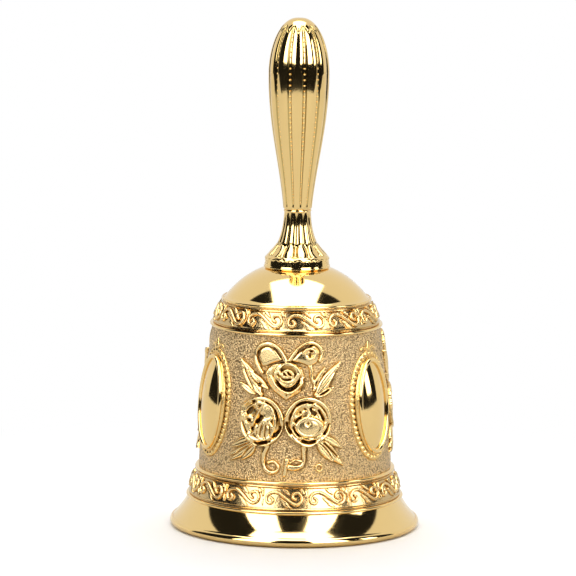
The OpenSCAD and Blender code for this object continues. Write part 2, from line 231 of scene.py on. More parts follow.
def near_line(x, y, points):
    """Distance from a line through the points, and how far along it the nearest place is, 0 to 1."""
    points = np.array(points, float)
    legs = np.hypot(*np.diff(points, axis=0).T)
    gap = np.full(x.shape, np.inf)
    share = np.zeros(x.shape)
    gone = 0.0
    for a, b, leg in zip(points, points[1:], legs):
        t = np.clip(((x - a[0]) * (b[0] - a[0]) + (y - a[1]) * (b[1] - a[1])) / leg ** 2, 0, 1)
        here = np.hypot(x - a[0] - t * (b[0] - a[0]), y - a[1] - t * (b[1] - a[1]))
        share = np.where(here < gap, (gone + t * leg) / legs.sum(), share)
        gap = np.minimum(here, gap)
        gone += leg
    return gap, share


def eased(points, per_leg=5):
    """A smooth line through the points."""
    if len(points) < 3:
        return points
    p = [points[0]] + list(points) + [points[-1]]
    line = []
    for a, b, c, d in zip(p, p[1:], p[2:], p[3:]):
        for i in range(per_leg):
            t = i / per_leg
            line.append(tuple(0.5 * (2 * n + (o - m) * t + (2 * m - 5 * n + 4 * o - q) * t * t
                                     + (3 * n - m - 3 * o + q) * t ** 3) for m, n, o, q in zip(a, b, c, d)))
    return line + [points[-1]]


def over(ground, shape):
    """Lays a shape over what is there: inside its outline it hides it."""
    return np.where(shape > 0, shape, np.maximum(ground, shape))


def cord(x, y, points, half, tip, height, lift=0.0):
    """A raised round line through the points, which narrows from half to tip."""
    gap, share = near_line(x, y, eased(points))
    width = half + (tip - half) * share
    k = np.clip(gap / width, 0, 1)
    return np.where(gap < width, lift + height * np.sqrt(1 - k * k), -4 * (gap - width))


def cut(h, x, y, points, half, depth):
    """Cuts a line through the points into what is there, shallower towards its ends."""
    gap, share = near_line(x, y, eased(points))
    ends = np.clip(np.minimum(share, 1 - share) * 6, 0.3, 1)
    return h - CUT_SCALE * depth * ends * np.exp(-(gap / (CUT_SCALE * half)) ** 2) * (h > 0)


def pad(x, y, points, height, edge):
    """A cushion within a closed line through the points, which rounds off over its edge."""
    line = eased(points + points[:1])
    gap, _ = near_line(x, y, line)
    within = np.zeros(x.shape, bool)
    for (ax, ay), (bx, by) in zip(line, line[1:]):
        if ay != by:
            within ^= ((ay > y) != (by > y)) & (x < ax + (bx - ax) * (y - ay) / (by - ay))
    k = np.clip(1 - gap / edge, 0, 1)
    return np.where(within, 0.02 + height * np.sqrt(1 - k * k), -4 * gap)


def blade(x, y, start, end, half, height, bow=0.0):
    """A pointed leaf from start to end with a sunk vein, bowed to its left."""
    dx, dy = end[0] - start[0], end[1] - start[1]
    middle = ((start[0] + end[0]) / 2 - dy * bow, (start[1] + end[1]) / 2 + dx * bow)
    gap, share = near_line(x, y, [start] + bend(start, middle, end, 8))
    width = half * (np.sin(math.pi * np.clip(share, 0.04, 0.97) ** 0.8)) ** 0.75
    k = np.clip(gap / width, 0, 1)
    top = height * np.sqrt(1 - k * k) - VEIN_DEPTH * np.exp(-(k / VEIN_HALF) ** 2)
    return np.where(gap < width, np.maximum(top, 0.02), -4 * (gap - width))


def petal(x, y, centre, radii, base, rise, rim=0.5, rim_h=0.3, turn=0.0):
    """A cupped petal with a rolled rim: its heights are in the middle, at the edge, and on the rim."""
    c, s = math.cos(math.radians(turn)), math.sin(math.radians(turn))
    u = (x - centre[0]) * c + (y - centre[1]) * s
    v = (y - centre[1]) * c - (x - centre[0]) * s
    k = np.hypot(u / radii[0], v / radii[1])
    out = (k - 1) * min(radii)
    roll = np.clip(1 - ((out + rim) / rim) ** 2, 0, 1)
    return np.where(out < 0, base + rise * k ** 3 + rim_h * np.sqrt(roll), -4 * out)


def drawn(h, x, y, ridges, grooves):
    """Adds raised lines (points, half width, lift and height) and cut lines (points, half width, depth)."""
    for points, half, lift, height in ridges:
        h = np.maximum(h, cord(x, y, points, half, half * 0.7, height, lift))
    for points, half, depth in grooves:
        h = cut(h, x, y, points, half, depth)
    return h


# All places on a spray are in millimetres from the middle of its panel
LEFT_RIDGES = [
    ([(-9.3, -4.6), (-8.2, -2.0), (-6.1, 1.9)], 0.4, 0.8, 0.6),
    (spiral((-10.4, -3.2), 1.1, 0.9, -40, 290), 0.32, 0.8, 0.45),
    ([(-12.2, 0.4), (-10.3, 1.9), (-8.6, 2.6)], 0.35, 0.8, 0.5),
    ([(-11.6, -1.9), (-10.6, -0.2), (-9.0, 0.9)], 0.3, 0.7, 0.5),
    ([(-10.6, -7.3), (-9.3, -6.6), (-8.3, -5.4)], 0.35, 0.8, 0.45)]
LEFT_GROOVES = [
    ([(-6.4, 2.0), (-4.6, 1.2), (-3.3, -0.5), (-2.7, -2.8)], 0.22, 0.5),
    ([(-1.9, -3.8), (-2.1, -5.3), (-3.7, -7.3)], 0.36, 0.9),
    ([(-9.4, -8.8), (-7.8, -9.1), (-4.8, -8.4)], 0.34, 0.9),
    ([(-12.5, -3.2), (-11.9, -5.0), (-10.8, -7.0)], 0.42, 0.9),
    ([(-11.3, -1.7), (-10.4, -0.7), (-9.3, 0.0)], 0.38, 0.9),
    ([(-8.4, -4.2), (-7.4, -2.9), (-6.4, -1.4)], 0.38, 0.8), ([(-9.6, -5.9), (-9.1, -4.8)], 0.4, 0.8),
    ([(-9.6, 1.5), (-8.4, 2.0)], 0.28, 0.6), ([(-10.5, -3.3), (-10.3, -3.1)], 0.4, 0.8),
    ([(-7.2, -7.6), (-7.0, -5.4), (-6.5, -3.6)], 0.2, 0.35),
    ([(-5.9, -7.8), (-5.8, -5.6), (-5.6, -3.6)], 0.2, 0.35), ([(-8.2, -7.0), (-8.0, -5.6)], 0.2, 0.3),
    ([(-4.7, -7.0), (-4.6, -5.2), (-4.9, -3.6)], 0.2, 0.3), ([(-4.0, -2.4), (-3.7, -0.8)], 0.2, 0.3)]
RIGHT_RIDGES = [
    ([(1.4, -1.0), (2.8, 0.8), (4.9, 1.6)], 0.36, 0.9, 0.5),
    ([(1.3, -3.9), (2.6, -1.9), (3.7, -0.6)], 0.36, 0.9, 0.5),
    ([(6.8, 1.3), (8.5, -0.2), (9.7, -2.6)], 0.6, 0.8, 0.55), ([(5.2, 1.0), (6.6, -0.2)], 0.35, 0.9, 0.5),
    ([(3.6, -9.0), (5.6, -9.3), (7.6, -8.3)], 0.4, 0.8, 0.4)]
RIGHT_GROOVES = [
    ([(-0.3, -2.6), (-0.1, -4.4), (1.1, -6.6)], 0.4, 0.9),
    ([(1.2, -4.0), (2.0, -5.7), (3.3, -7.0)], 0.26, 0.7),
    ([(3.2, -7.6), (4.8, -8.3), (6.2, -8.4), (7.6, -7.7)], 0.48, 1.0),
    ([(10.9, -3.2), (10.4, -4.9), (8.9, -6.8)], 0.42, 0.9),
    ([(5.6, 0.9), (6.3, -0.5), (7.5, -1.4)], 0.36, 0.9), ([(3.1, -0.7), (3.3, -0.6)], 0.32, 0.6),
    ([(4.2, 0.2), (4.4, 0.3)], 0.32, 0.6), ([(1.6, -3.5), (2.4, -2.4), (3.3, -1.7)], 0.3, 0.7),
    ([(5.1, -3.5), (5.3, -3.5)], 0.42, 0.9), ([(7.6, 0.4), (8.5, -1.2), (9.4, -3.0)], 0.26, 0.7),
    ([(1.8, 1.0), (3.2, 1.9), (5.2, 2.2)], 0.22, 0.5)]
HEART = [
    (-0.5, 2.4), (-2.6, 3.8), (-4.5, 5.4), (-5.8, 7.9), (-6.0, 10.0), (-5.0, 11.5), (-3.2, 12.2),
    (-0.8, 12.4), (1.6, 12.5), (3.2, 11.2), (4.0, 9.2), (4.6, 7.4), (4.3, 5.9), (3.0, 4.6), (1.2, 3.5)]
HEART_RIDGES = [
    ([(-4.4, 8.2), (-3.0, 5.9), (-1.3, 4.7), (0.3, 4.3), (1.9, 5.2), (3.2, 6.6)], 0.5, 0.7, 0.6),
    ([(-5.6, 9.2), (-5.1, 10.9), (-3.4, 11.6), (-1.8, 11.7)], 0.4, 0.7, 0.5),
    ([(-3.0, 9.4), (-2.1, 10.9), (-0.7, 12.2)], 0.32, 1.0, 0.4),
    ([(0.4, 11.6), (2.2, 10.8), (3.1, 9.2)], 0.36, 0.8, 0.5),
    ([(-2.4, 9.8), (-1.6, 7.6), (-0.3, 7.0), (1.2, 7.6), (2.2, 9.2)], 0.4, 1.0, 0.5),
    ([(-0.9, 9.9), (-0.2, 9.0), (0.6, 8.7)], 0.3, 1.2, 0.35)]
HEART_GROOVES = [
    ([(-3.7, 8.6), (-2.5, 6.7), (-1.2, 5.6), (0.2, 5.3), (1.7, 6.3), (3.2, 8.6)], 0.32, 0.8),
    ([(3.9, 8.5), (4.3, 7.0), (3.7, 5.7), (2.9, 5.0)], 0.34, 0.8),
    ([(-2.6, 9.3), (-1.7, 8.1), (-0.3, 7.7), (1.1, 8.2)], 0.24, 0.6),
    ([(-5.9, 9.6), (-5.0, 11.2), (-3.4, 12.0), (-1.9, 12.0)], 0.3, 0.7),
    ([(1.0, 12.4), (2.1, 12.1), (3.0, 11.2)], 0.34, 0.8), ([(-1.4, 9.7), (-0.5, 8.7)], 0.2, 0.5),
    ([(-0.3, 9.9), (0.8, 8.6)], 0.22, 0.6), ([(-0.5, 4.6), (-0.5, 2.9)], 0.2, 0.3)]


# Each rose's petals, the outermost first: middle, radii, height, rise, the rim's width and height, and turn
LEFT_PETALS = [
    ((-7.0, -3.3), (5.95, 6.5), 0.6, 0.3, 0.55, 0.45), ((-7.6, -3.3), (4.7, 5.3), 0.75, 0.3, 0.4, 0.35),
    ((-9.9, -0.4), (2.4, 2.6), 0.7, 0.2, 0.35, 0.25, 30),
    ((-5.2, -0.9), (1.9, 2.5), 1.2, -0.2, 0.35, 0.15, -15), ((-6.2, -5.5), (2.6, 3.0), 1.35, -0.3, 0.35, 0.2)]
RIGHT_PETALS = [
    ((5.2, -3.0), (6.1, 6.3), 0.6, 0.3, 0.55, 0.45), ((5.4, -3.4), (4.8, 4.9), 0.75, 0.3, 0.4, 0.35),
    ((3.6, -0.9), (2.3, 2.2), 0.9, 0.2, 0.35, 0.25, 20), ((5.4, -4.5), (3.7, 2.7), 1.4, -0.35, 0.35, 0.2)]
HEART_PETALS = [
    ((-0.5, 9.0), (3.3, 3.2), 0.8, 0.25, 0.4, 0.25), ((-0.3, 8.8), (1.7, 1.6), 1.15, 0.2, 0.35, 0.2)]


def rose(h, x, y, petals, ridges, grooves):
    """Lays a rose's petals on what is there, and draws its folds."""
    for shape in petals:
        h = over(h, petal(x, y, *shape))
    return drawn(h, x, y, ridges, grooves)


# A spray's leaves: where each starts and ends, its half width, its height and its bow
LEAVES = [
    ((-7.2, 3.8), (-13.0, 12.3), 2.0, 1.15, 0.05), ((-5.4, 5.4), (-10.6, 9.8), 1.1, 1.15, 0.04),
    ((-9.0, 3.7), (-13.5, 6.4), 0.9, 0.9, 0.04), ((6.5, 5.0), (9.3, 11.0), 0.85, 1.0, 0.06),
    ((7.0, 4.0), (13.4, 12.1), 1.7, 1.15, -0.04), ((7.2, 3.4), (11.9, 5.8), 0.95, 1.0, -0.05),
    ((-9.0, -8.0), (-15.8, -10.7), 1.3, 1.0, -0.05), ((-9.0, -8.9), (-16.6, -13.0), 1.0, 1.0, 0.04),
    ((-8.8, -9.4), (-16.2, -14.3), 0.95, 1.0, 0.04), ((-8.6, -9.7), (-12.6, -13.8), 1.0, 0.9, 0.05),
    ((8.8, -6.8), (14.3, -10.3), 1.1, 1.0, 0.05), ((8.0, -7.7), (14.9, -14.8), 1.55, 1.15, -0.03),
    ((7.6, -8.6), (12.0, -13.8), 1.0, 1.0, -0.04)]
LEAF_GROOVES = [
    ([(12.9, 10.3), (11.8, 7.9), (10.8, 6.2)], 0.36, 0.8),
    ([(7.9, 3.7), (9.3, 4.4), (10.9, 5.4)], 0.28, 0.7),
    ([(-12.4, 10.9), (-11.4, 8.6), (-9.0, 4.6)], 0.25, 0.6),
    ([(8.8, -8.0), (11.1, -10.3), (14.0, -13.2)], 0.28, 0.7), ([(-8.0, 6.6), (-7.3, 6.0)], 0.45, 0.8),
    ([(7.4, 7.6), (6.9, 6.0)], 0.25, 0.5)]
# Its stems and curls: points, half widths at the start and the tip, and height
STEMS = [
    ([(-5.4, -9.6), (-6.3, -11.6), (-6.5, -13.8), (-5.9, -15.7), (-4.6, -16.6)], 0.8, 0.6, 0.85),
    ([(-4.6, -16.6), (-3.0, -16.2), (-2.4, -14.9), (-3.6, -13.7), (-5.0, -14.0)], 0.55, 0.45, 0.7),
    ([(4.3, -9.7), (4.5, -12.0), (4.3, -13.9), (3.3, -15.0), (1.8, -15.2), (0.5, -15.0)], 0.85, 0.8, 0.9),
    ([(3.4, -13.4), (2.0, -13.1), (0.6, -13.9)], 0.35, 0.2, 0.5),
    ([(-0.2, -13.3), (-0.8, -17.1)], 0.6, 0.5, 0.3),
    ([(5.3, 12.0), (5.8, 10.2), (5.9, 8.4), (6.8, 6.4)], 0.6, 0.4, 0.6)]
STEM_GROOVES = [
    ([(4.9, -9.9), (5.1, -12.0), (4.9, -14.0), (4.2, -15.4), (2.5, -15.9)], 0.34, 0.9),
    ([(-5.0, -14.7), (-3.8, -14.4), (-3.0, -15.1)], 0.32, 0.7),
    ([(-7.0, -11.8), (-7.1, -13.8), (-6.4, -15.8)], 0.28, 0.6)]
LEFT_LOOP = [
    (-0.9, 12.7), (-2.0, 14.7), (-3.5, 16.2), (-5.7, 16.9), (-7.8, 16.2), (-8.8, 14.7), (-8.9, 12.9),
    (-8.2, 11.1), (-7.0, 9.4)]
LEFT_FILL = [
    (-1.4, 12.8), (-3.4, 15.2), (-5.6, 16.3), (-7.8, 15.4), (-8.4, 13.0), (-7.0, 11.0), (-3.6, 12.2)]
RIGHT_LOOP = [
    (0.1, 12.7), (1.1, 14.3), (2.5, 15.9), (4.3, 17.1), (6.2, 17.3), (7.9, 16.2), (8.5, 14.3), (8.0, 12.6)]
RIGHT_FILL = [
    (0.4, 12.6), (2.6, 15.2), (4.6, 16.6), (6.8, 16.6), (8.1, 14.8), (7.4, 12.4), (5.2, 11.4), (3.4, 12.0)]

BOW_GROOVES = [
    ([(-4.2, 16.2), (-2.9, 14.8), (-1.8, 13.2)], 0.22, 0.6),
    ([(2.2, 15.0), (3.7, 16.2), (5.6, 16.5)], 0.3, 0.8), ([(5.2, 14.2), (5.5, 14.2)], 0.42, 0.9),
    ([(5.2, 15.3), (6.2, 15.1)], 0.22, 0.5), ([(-8.1, 15.4), (-8.3, 13.4), (-7.4, 11.6)], 0.22, 0.5)]


def spray(x, y):
    """The middle of a panel: three roses under a bow, with leaves and hooked stems."""
    h = bare = np.full(x.shape, GROUND)
    for start, end, half, height, bow in LEAVES:
        h = over(h, blade(x, y, start, end, half, height, bow))
    for points, half, tip, height in STEMS:
        h = np.maximum(h, cord(x, y, points, half, tip, height))
    h = np.maximum(h, cord(x, y, spiral((8.3, -15.2), 0.95, 0.8, -80, 240), 0.3, 0.3, 0.45))
    h = drawn(h, x, y, [], LEAF_GROOVES + STEM_GROOVES)
    h = over(h, pad(x, y, LEFT_FILL, 0.45, 0.9))
    h = over(h, pad(x, y, RIGHT_FILL, 0.7, 1.2))
    h = np.maximum(h, cord(x, y, LEFT_LOOP, 0.62, 0.5, 0.6, 0.35))
    h = np.maximum(h, cord(x, y, RIGHT_LOOP, 0.5, 0.45, 0.5, 0.4))
    h = np.maximum(h, cord(x, y, spiral((5.4, 14.2), 1.75, 1.0, 160, -120), 0.4, 0.35, 0.4, 0.7))
    h = drawn(h, x, y, [], BOW_GROOVES)
    h = over(h, rose(bare, x, y, LEFT_PETALS, LEFT_RIDGES, LEFT_GROOVES))
    h = over(h, rose(bare, x, y, RIGHT_PETALS, RIGHT_RIDGES, RIGHT_GROOVES))
    return over(h, rose(pad(x, y, HEART, 0.85, 1.0), x, y, HEART_PETALS, HEART_RIDGES, HEART_GROOVES))


# How many scrolls a band has, and how far the first one stands round from the front, in degrees
LOW_SCROLLS, HIGH_SCROLLS = 15, 12
LOW_SCROLL_TURN, HIGH_SCROLL_TURN = 5.3, -10.2
# How far the middle of a scroll stands to the left of its big curl
SCROLL_SHIFT = 2.9
# A band's scroll, from the middle of its big curl: its line, its small curl and its leaflets
SCROLL_LINE = [
    (-5.2, 1.5), (-4.2, 1.1), (-2.7, 0.1), (-1.4, -0.9), (0.0, -1.55), (1.2, -1.0), (1.55, 0.2), (0.8, 1.3),
    (-0.5, 1.2), (-0.9, 0.3), (-0.2, -0.2)]
SMALL_CURL = [(-5.6, 1.5), (-6.7, 1.3), (-7.7, 0.4), (-7.6, -0.9), (-6.6, -1.3), (-6.0, -0.5), (-6.6, 0.1)]
LEAFLETS = [
    ((-4.4, 0.1), (-1.8, -1.5), -0.08), ((-3.4, -1.1), (-1.2, -2.3), -0.1), ((-3.4, 2.2), (-1.6, 0.7), 0.12),
    ((2.6, 2.2), (2.5, 0.2), 0.1), ((2.9, -2.2), (2.7, -0.3), -0.1), ((1.2, 2.3), (2.1, 1.0), 0.1)]


def scroll_rows(period):
    """A band's pattern, once every period: a big curl and a small one on an S-shaped line."""
    def heights(x, y):
        u = (x + period / 2 + SCROLL_SHIFT) % period - period / 2 - SCROLL_SHIFT
        h = np.full(x.shape, GROUND)
        for start, end, bow in LEAFLETS:
            h = np.maximum(h, blade(u, y, start, end, 0.42, 0.55, bow))
        h = np.maximum(h, cord(u, y, SCROLL_LINE, 0.46, 0.4, 0.68))
        return np.maximum(h, cord(u, y, SMALL_CURL, 0.42, 0.38, 0.62))
    return heights


OVAL_W, OVAL_H, OVAL_CROWN, OVAL_DROP = 5.5, 11.5, 1.6, 0.4
BEZEL_R, BOSS = 0.62, 0.5
BORDER_W, BORDER_SLOPE = 1.7, 2.2
# The row of bumps: how many, how far out from the bezel, and their radius, lift and height
BORDER_BUMPS, BUMPS_OUT = 46, 1.0
BUMP_R, BUMP_LIFT, BUMP_H = 0.68, 0.25, 0.34


def medallion_border(x, y):
    """The ground of a medallion: its boss, a row of bumps around it, and a crest above and below."""
    half_w, half_h = OVAL_W + 2 * BEZEL_R, OVAL_H + 2 * BEZEL_R
    k = np.hypot(x / half_w, y / half_h)
    slope = np.hypot(x / half_w ** 2, y / half_h ** 2)
    out = k * (k - 1) / np.maximum(slope, 1e-6)
    plate = BOSS + x * x / (2 * wall_r(PANEL_MID))
    h = np.where(out < 0, plate - 0.1, np.maximum(plate - BORDER_SLOPE * out, 0.3))
    h = np.where(out > BORDER_W, -4 * (out - BORDER_W), h)
    t = np.linspace(0, 2 * math.pi, 721)
    row_w, row_h = half_w + BUMPS_OUT, half_h + BUMPS_OUT
    path = np.stack([row_w * np.cos(t), row_h * np.sin(t)], axis=1)
    run = np.concatenate([[0], np.cumsum(np.hypot(*np.diff(path, axis=0).T))])
    for i in range(BORDER_BUMPS):
        a = np.interp(run[-1] * (i + 0.5) / BORDER_BUMPS, run, t)
        r = np.hypot(x - row_w * math.cos(a), y - row_h * math.sin(a)) / BUMP_R
        h = np.maximum(h, np.where(r < 1, BUMP_LIFT + BUMP_H * np.sqrt(np.clip(1 - r * r, 0, 1)), GROUND))
    for side in (-1, 1):
        crest = [(side * 0.6, 14.6), (side * 1.9, 15.3), (side * 3.1, 14.9)]
        h = np.maximum(h, cord(x, y, crest, 0.5, 0.35, 0.3))
    return np.maximum(h, blade(x, y, (0, 14.4), (0, 16.8), 0.7, 0.35))


def blurred(grid, reach):
    """The grid with every place averaged over its neighbours, three times each way."""
    span = 2 * reach + 1
    for _ in range(6):
        total = np.cumsum(np.pad(grid, ((reach, reach), (0, 0)), mode="edge"), axis=0)
        total = np.insert(total, 0, 0, axis=0)
        grid = ((total[span:] - total[:-span]) / span).T
    return grid


POINT_GAP, BAND_POINT_GAP = 0.16, 0.18
# How far round a place its neighbours count, and how strongly, in finding hollows, which get painted shade
# and patina
HOLLOW_REACH, HOLLOW_GAIN = 3, 3.6
# How low the relief's edge, its underside and open ground lie
EDGE_OUT, UNDER_OUT, OPEN_OUT = -0.35, -0.6, -0.2


def relief(width, height, pattern, columns=None):
    """A closed sheet of relief: open ground is left out, and its underside is sunk in the wall."""
    columns = columns or round(width / POINT_GAP)
    rows = round(height / POINT_GAP)
    bm = bmesh.new()
    bmesh.ops.create_grid(bm, x_segments=columns, y_segments=rows, size=1)
    x = np.array([v.co.x for v in bm.verts]) * width / 2
    y = np.array([v.co.y for v in bm.verts]) * height / 2
    top = pattern(x, y)
    solid = np.clip(top, 0, None).reshape(rows + 1, columns + 1)
    # Painted shade and patina: the deeper a place lies below its neighbours, the darker
    hollow_shade = np.clip((blurred(solid, HOLLOW_REACH) - solid) * HOLLOW_GAIN, 0, 1).ravel()
    out = bm.verts.layers.float.new("out")
    shade_and_patina = bm.verts.layers.float.new("shade_and_patina")
    for v, px, py, h, d in zip(bm.verts, x, y, top, hollow_shade):
        v.co = (px, py, 0)
        v[out] = max(h, EDGE_OUT)
        v[shade_and_patina] = d
    ground = [f for f in bm.faces if max(v[out] for v in f.verts) < OPEN_OUT]
    bmesh.ops.delete(bm, geom=ground, context="FACES")
    under = bm.verts[:]
    for g in bmesh.ops.extrude_face_region(bm, geom=bm.faces[:])["geom"]:
        if isinstance(g, bmesh.types.BMVert):
            g.co.z = g[out]
    for v in under:
        v.co.z = UNDER_OUT
    bm.verts.layers.float.remove(out)
    bmesh.ops.recalc_face_normals(bm, faces=bm.faces)
    return bm


def wrap(bm, turn, mid_z, radius_at):
    """Lays relief on the cup: turn is in degrees from the front, counter-clockwise from above."""
    for v in bm.verts:
        z = mid_z + v.co.y
        r = radius_at(z)
        lean = math.atan(radius_at(z - 0.5) - radius_at(z + 0.5))
        a = math.radians(turn) + v.co.x / r
        out = r + v.co.z * math.cos(lean)
        v.co = (out * math.sin(a), -out * math.cos(a), z + v.co.z * math.sin(lean))


def stand(bm, turn, mid_z, radius_at):
    """Stands a piece made in the plane z = 0 flat against the cup."""
    lean = math.atan(radius_at(mid_z - 0.5) - radius_at(mid_z + 0.5))
    place = (Matrix.Rotation(math.radians(turn), 4, "Z") @ Matrix.Translation((0, -radius_at(mid_z), mid_z))
             @ Matrix.Rotation(math.pi / 2 - lean, 4, "X"))
    bmesh.ops.transform(bm, matrix=place, verts=bm.verts)


def oval_bezel():
    """The round rim about a medallion's dome, of even thickness all the way round."""
    # A ring so big that its section can be measured off it
    big = 100
    bm = turned(arc((big, 0), BEZEL_R, 0, 340, 17), 8, 16)
    half_w, half_h = OVAL_W + BEZEL_R - 0.05, OVAL_H + BEZEL_R - 0.05
    for v in bm.verts:
        off = math.hypot(v.co.x, v.co.y) - big
        a = math.atan2(v.co.y, v.co.x)
        nx, ny = math.cos(a) / half_w, math.sin(a) / half_h
        n = math.hypot(nx, ny)
        v.co = (half_w * math.cos(a) + off * nx / n, half_h * math.sin(a) + off * ny / n, BOSS + v.co.z)
    return bm


def oval_dome():
    """A medallion's polished dome, evenly bent from edge to edge."""
    bm = bmesh.new()
    bmesh.ops.create_uvsphere(bm, u_segments=96, v_segments=64, radius=1)
    for v in bm.verts:
        rise = OVAL_CROWN if v.co.z > -1e-6 else -0.3
        rise *= 1 - v.co.x ** 2 - v.co.y ** 2
        v.co = (v.co.x * OVAL_W, v.co.y * OVAL_H, BOSS - 0.05 + rise)
    return bm


# The handle

RIBS = 12
RIB_TURN = 16
CHANNEL = 3.8
GRIP_R = 8.05
NECK_R, NECK_FLARE = 3.75, 1.05
BELLY_Z = 36
TOP_ROUND_R = 5.1
CAP_FLAT_R = 0.75
CAP_R, CAP_LOBE = 4.4, 0.9
LOW_ROWS, HIGH_ROWS = 80, 90
# How deep the channels and the ribs' round sides are, as shares of the grip's radius
CHANNEL_DIP, RIB_DIP = 0.05, 0.02
# Over what height they start at the neck, and over what width they end at the cap
NECK_FADE, CAP_FADE = 1.6, 0.7
# How dark the painted shade on the channels' edges is, how much darker it is over the belly, and how wide in
# degrees
CHANNEL_SHADE, TOP_SHADE, SHADE_W = 0.45, 0.4, 1.5
# The groove round the cap: its half width, depth and painted shade
CAP_GROOVE_W, CAP_GROOVE, CAP_SHADE = 0.2, 0.22, 0.8
# The channels' beads: their radius as a share of the grip's, their pitch in radii, and where they start
BEAD_SHARE, BEAD_PITCH, FIRST_BEAD_Z = 0.031, 6.0, 2.0
HALF_RIB = 180 / RIBS


def cubic(a, b, c, d, t):
    u = 1 - t
    return u ** 3 * a + 3 * u * u * t * b + 3 * u * t * t * c + t ** 3 * d


def grip_outline():
    """The grip's section, as radii and heights above the neck: the same two curves as the part."""
    top = GRIP_TOP - FOOT_TOP
    lower = ((NECK_R, 0), (NECK_R + NECK_FLARE, BELLY_Z / 3), (GRIP_R, BELLY_Z * 0.61), (GRIP_R, BELLY_Z))
    upper = ((GRIP_R, BELLY_Z), (GRIP_R, (BELLY_Z + top) / 2), (TOP_ROUND_R, top - 0.2), (CAP_FLAT_R, top))
    outline = []
    for rows, corners in ((LOW_ROWS, lower), (HIGH_ROWS, upper)):
        outline += [tuple(cubic(*line, i / rows) for line in zip(*corners)) for i in range(rows)]
    return outline + [(CAP_FLAT_R, top)]


GRIP_OUTLINE = grip_outline()


def grip_r(z):
    """Radius of the grip's ribs at a height above the neck."""
    return float(np.interp(z, [p[1] for p in GRIP_OUTLINE], [p[0] for p in GRIP_OUTLINE]))


def grip_fade(z, cap_r=CAP_R):
    """How deep the channels are at a height: nothing at the neck's end and on the cap."""
    at_cap = max(0, (grip_r(z) - cap_r) / CAP_FADE) if z > BELLY_Z else 1
    return min(1, z / NECK_FADE) * min(1, at_cap)


def grip_body():
    outline = [(0.0, 0.0), (NECK_R - 0.3, 0.0)] + GRIP_OUTLINE[1:] + [(0.0, GRIP_TOP - FOOT_TOP)]
    bm = turned(outline, RIBS, 24, closed=False)
    shade_and_patina = bm.verts.layers.float.new("shade_and_patina")
    for v in bm.verts:
        r = math.hypot(v.co.x, v.co.y)
        if r > 1.5:
            around = math.degrees(math.atan2(v.co.x, -v.co.y)) - RIB_TURN
            off = abs((around + HALF_RIB) % (2 * HALF_RIB) - HALF_RIB)
            cap_r = CAP_R + CAP_LOBE * math.sin(math.radians(RIBS / 2 * off)) ** 2
            fade = grip_fade(v.co.z, cap_r)
            if off < CHANNEL:
                dip = CHANNEL_DIP * r * (1 - (off / CHANNEL) ** 4) + RIB_DIP * r
            else:
                dip = RIB_DIP * r * ((HALF_RIB - off) / (HALF_RIB - CHANNEL)) ** 2
            dip *= fade
            # Painted shade along the channels' edges, darker over the belly
            darkest = CHANNEL_SHADE + TOP_SHADE * min(1, max(0, (v.co.z - BELLY_Z) / 4))
            v[shade_and_patina] = darkest * fade * math.exp(-((off - CHANNEL * 0.8) / SHADE_W) ** 2)
            if v.co.z > BELLY_Z:
                edge = math.exp(-((r - cap_r) / CAP_GROOVE_W) ** 2)
                dip += CAP_GROOVE * edge
                v[shade_and_patina] = max(v[shade_and_patina], CAP_SHADE * edge)
            v.co.xy *= 1 - dip / r
    bmesh.ops.translate(bm, vec=(0, 0, FOOT_TOP), verts=bm.verts)
    return bm


def grip_beads():
    """Rows of beads in the channels between the ribs, smaller towards both ends."""
    bm = bmesh.new()
    a = math.radians(RIB_TURN)
    z = FIRST_BEAD_Z
    while z < BELLY_Z or grip_r(z) > CAP_R + 0.8:
        r = grip_r(z)
        size = BEAD_SHARE * r
        sunk = r * (1 - (CHANNEL_DIP + RIB_DIP) * grip_fade(z))
        made = bmesh.ops.create_uvsphere(bm, u_segments=8, v_segments=5, radius=size)["verts"]
        bmesh.ops.rotate(bm, verts=made, cent=(0, 0, 0), matrix=Matrix.Rotation(math.pi / 2, 3, "X"))
        bmesh.ops.translate(bm, vec=(sunk * math.sin(a), -sunk * math.cos(a), FOOT_TOP + z), verts=made)
        lean = math.atan((grip_r(z + 0.3) - grip_r(z - 0.3)) / 0.6)
        z += BEAD_PITCH * size * math.cos(lean)
    repeated(bm, RIBS)
    return bm


PETALS = 12
FOOT_TURN = 15.5
SEAT_FLAT_R, RING_TOP = 8.1, 2.3
RING_ROWS, FOOT_ROWS = 24, 120
PETAL_MID, PETAL_TOP = 5.0, 7.0
# A petal's half width, as a share of half its sector, its half height and its rise
PETAL_W, PETAL_H, PETAL_PROUD = 0.76, 1.85, 0.34
# The line cut round it: where, its half width, depth and painted shade
LINE_OUT, LINE_W, LINE_DEPTH, LINE_SHADE = 1.12, 0.11, 0.3, 0.95
# The bud between two petals: its half width, half height and rise
BUD_W, BUD_H, BUD_PROUD = 0.17, 1.3, 0.26
# The ruffle under the petals: its middle, top, wave, half height and rise
RUFFLE_Z, RUFFLE_TOP, RUFFLE_WAVE, RUFFLE_H, RUFFLE_PROUD = 3.2, 3.7, 0.15, 0.5, 0.24
# The flutes over the petals: their depth as a share of the radius, and the painted shade between them
FLUTE_DEPTH, FLUTE_SHADE, FLUTE_LINE_W = 0.1, 0.8, 0.2
# The collar at the neck: its height, its round part's and its rise
COLLAR_H, COLLAR_ROUND, COLLAR_PROUD = 0.5, 0.45, 0.16
RING_PROFILE = [(0.0, 8.2), (0.25, 8.65), (0.55, 8.8), (0.85, 8.74), (1.05, 8.62), (2.6, 8.46)]
FOOT_PROFILE = [
    (2.8, 8.4), (3.4, 7.95), (4.4, 7.0), (5.4, 6.1), (6.5, 5.35), (8.3, 4.6), (10.5, 4.0), (12.6, 3.68),
    (14.2, 3.56), (16, 3.56)]
FOOT_OUTLINE = RING_PROFILE + eased(FOOT_PROFILE)


def foot_r(z):
    """Radius of the foot's ground at a height above the crown."""
    return float(np.interp(z, [p[0] for p in FOOT_OUTLINE], [p[1] for p in FOOT_OUTLINE]))


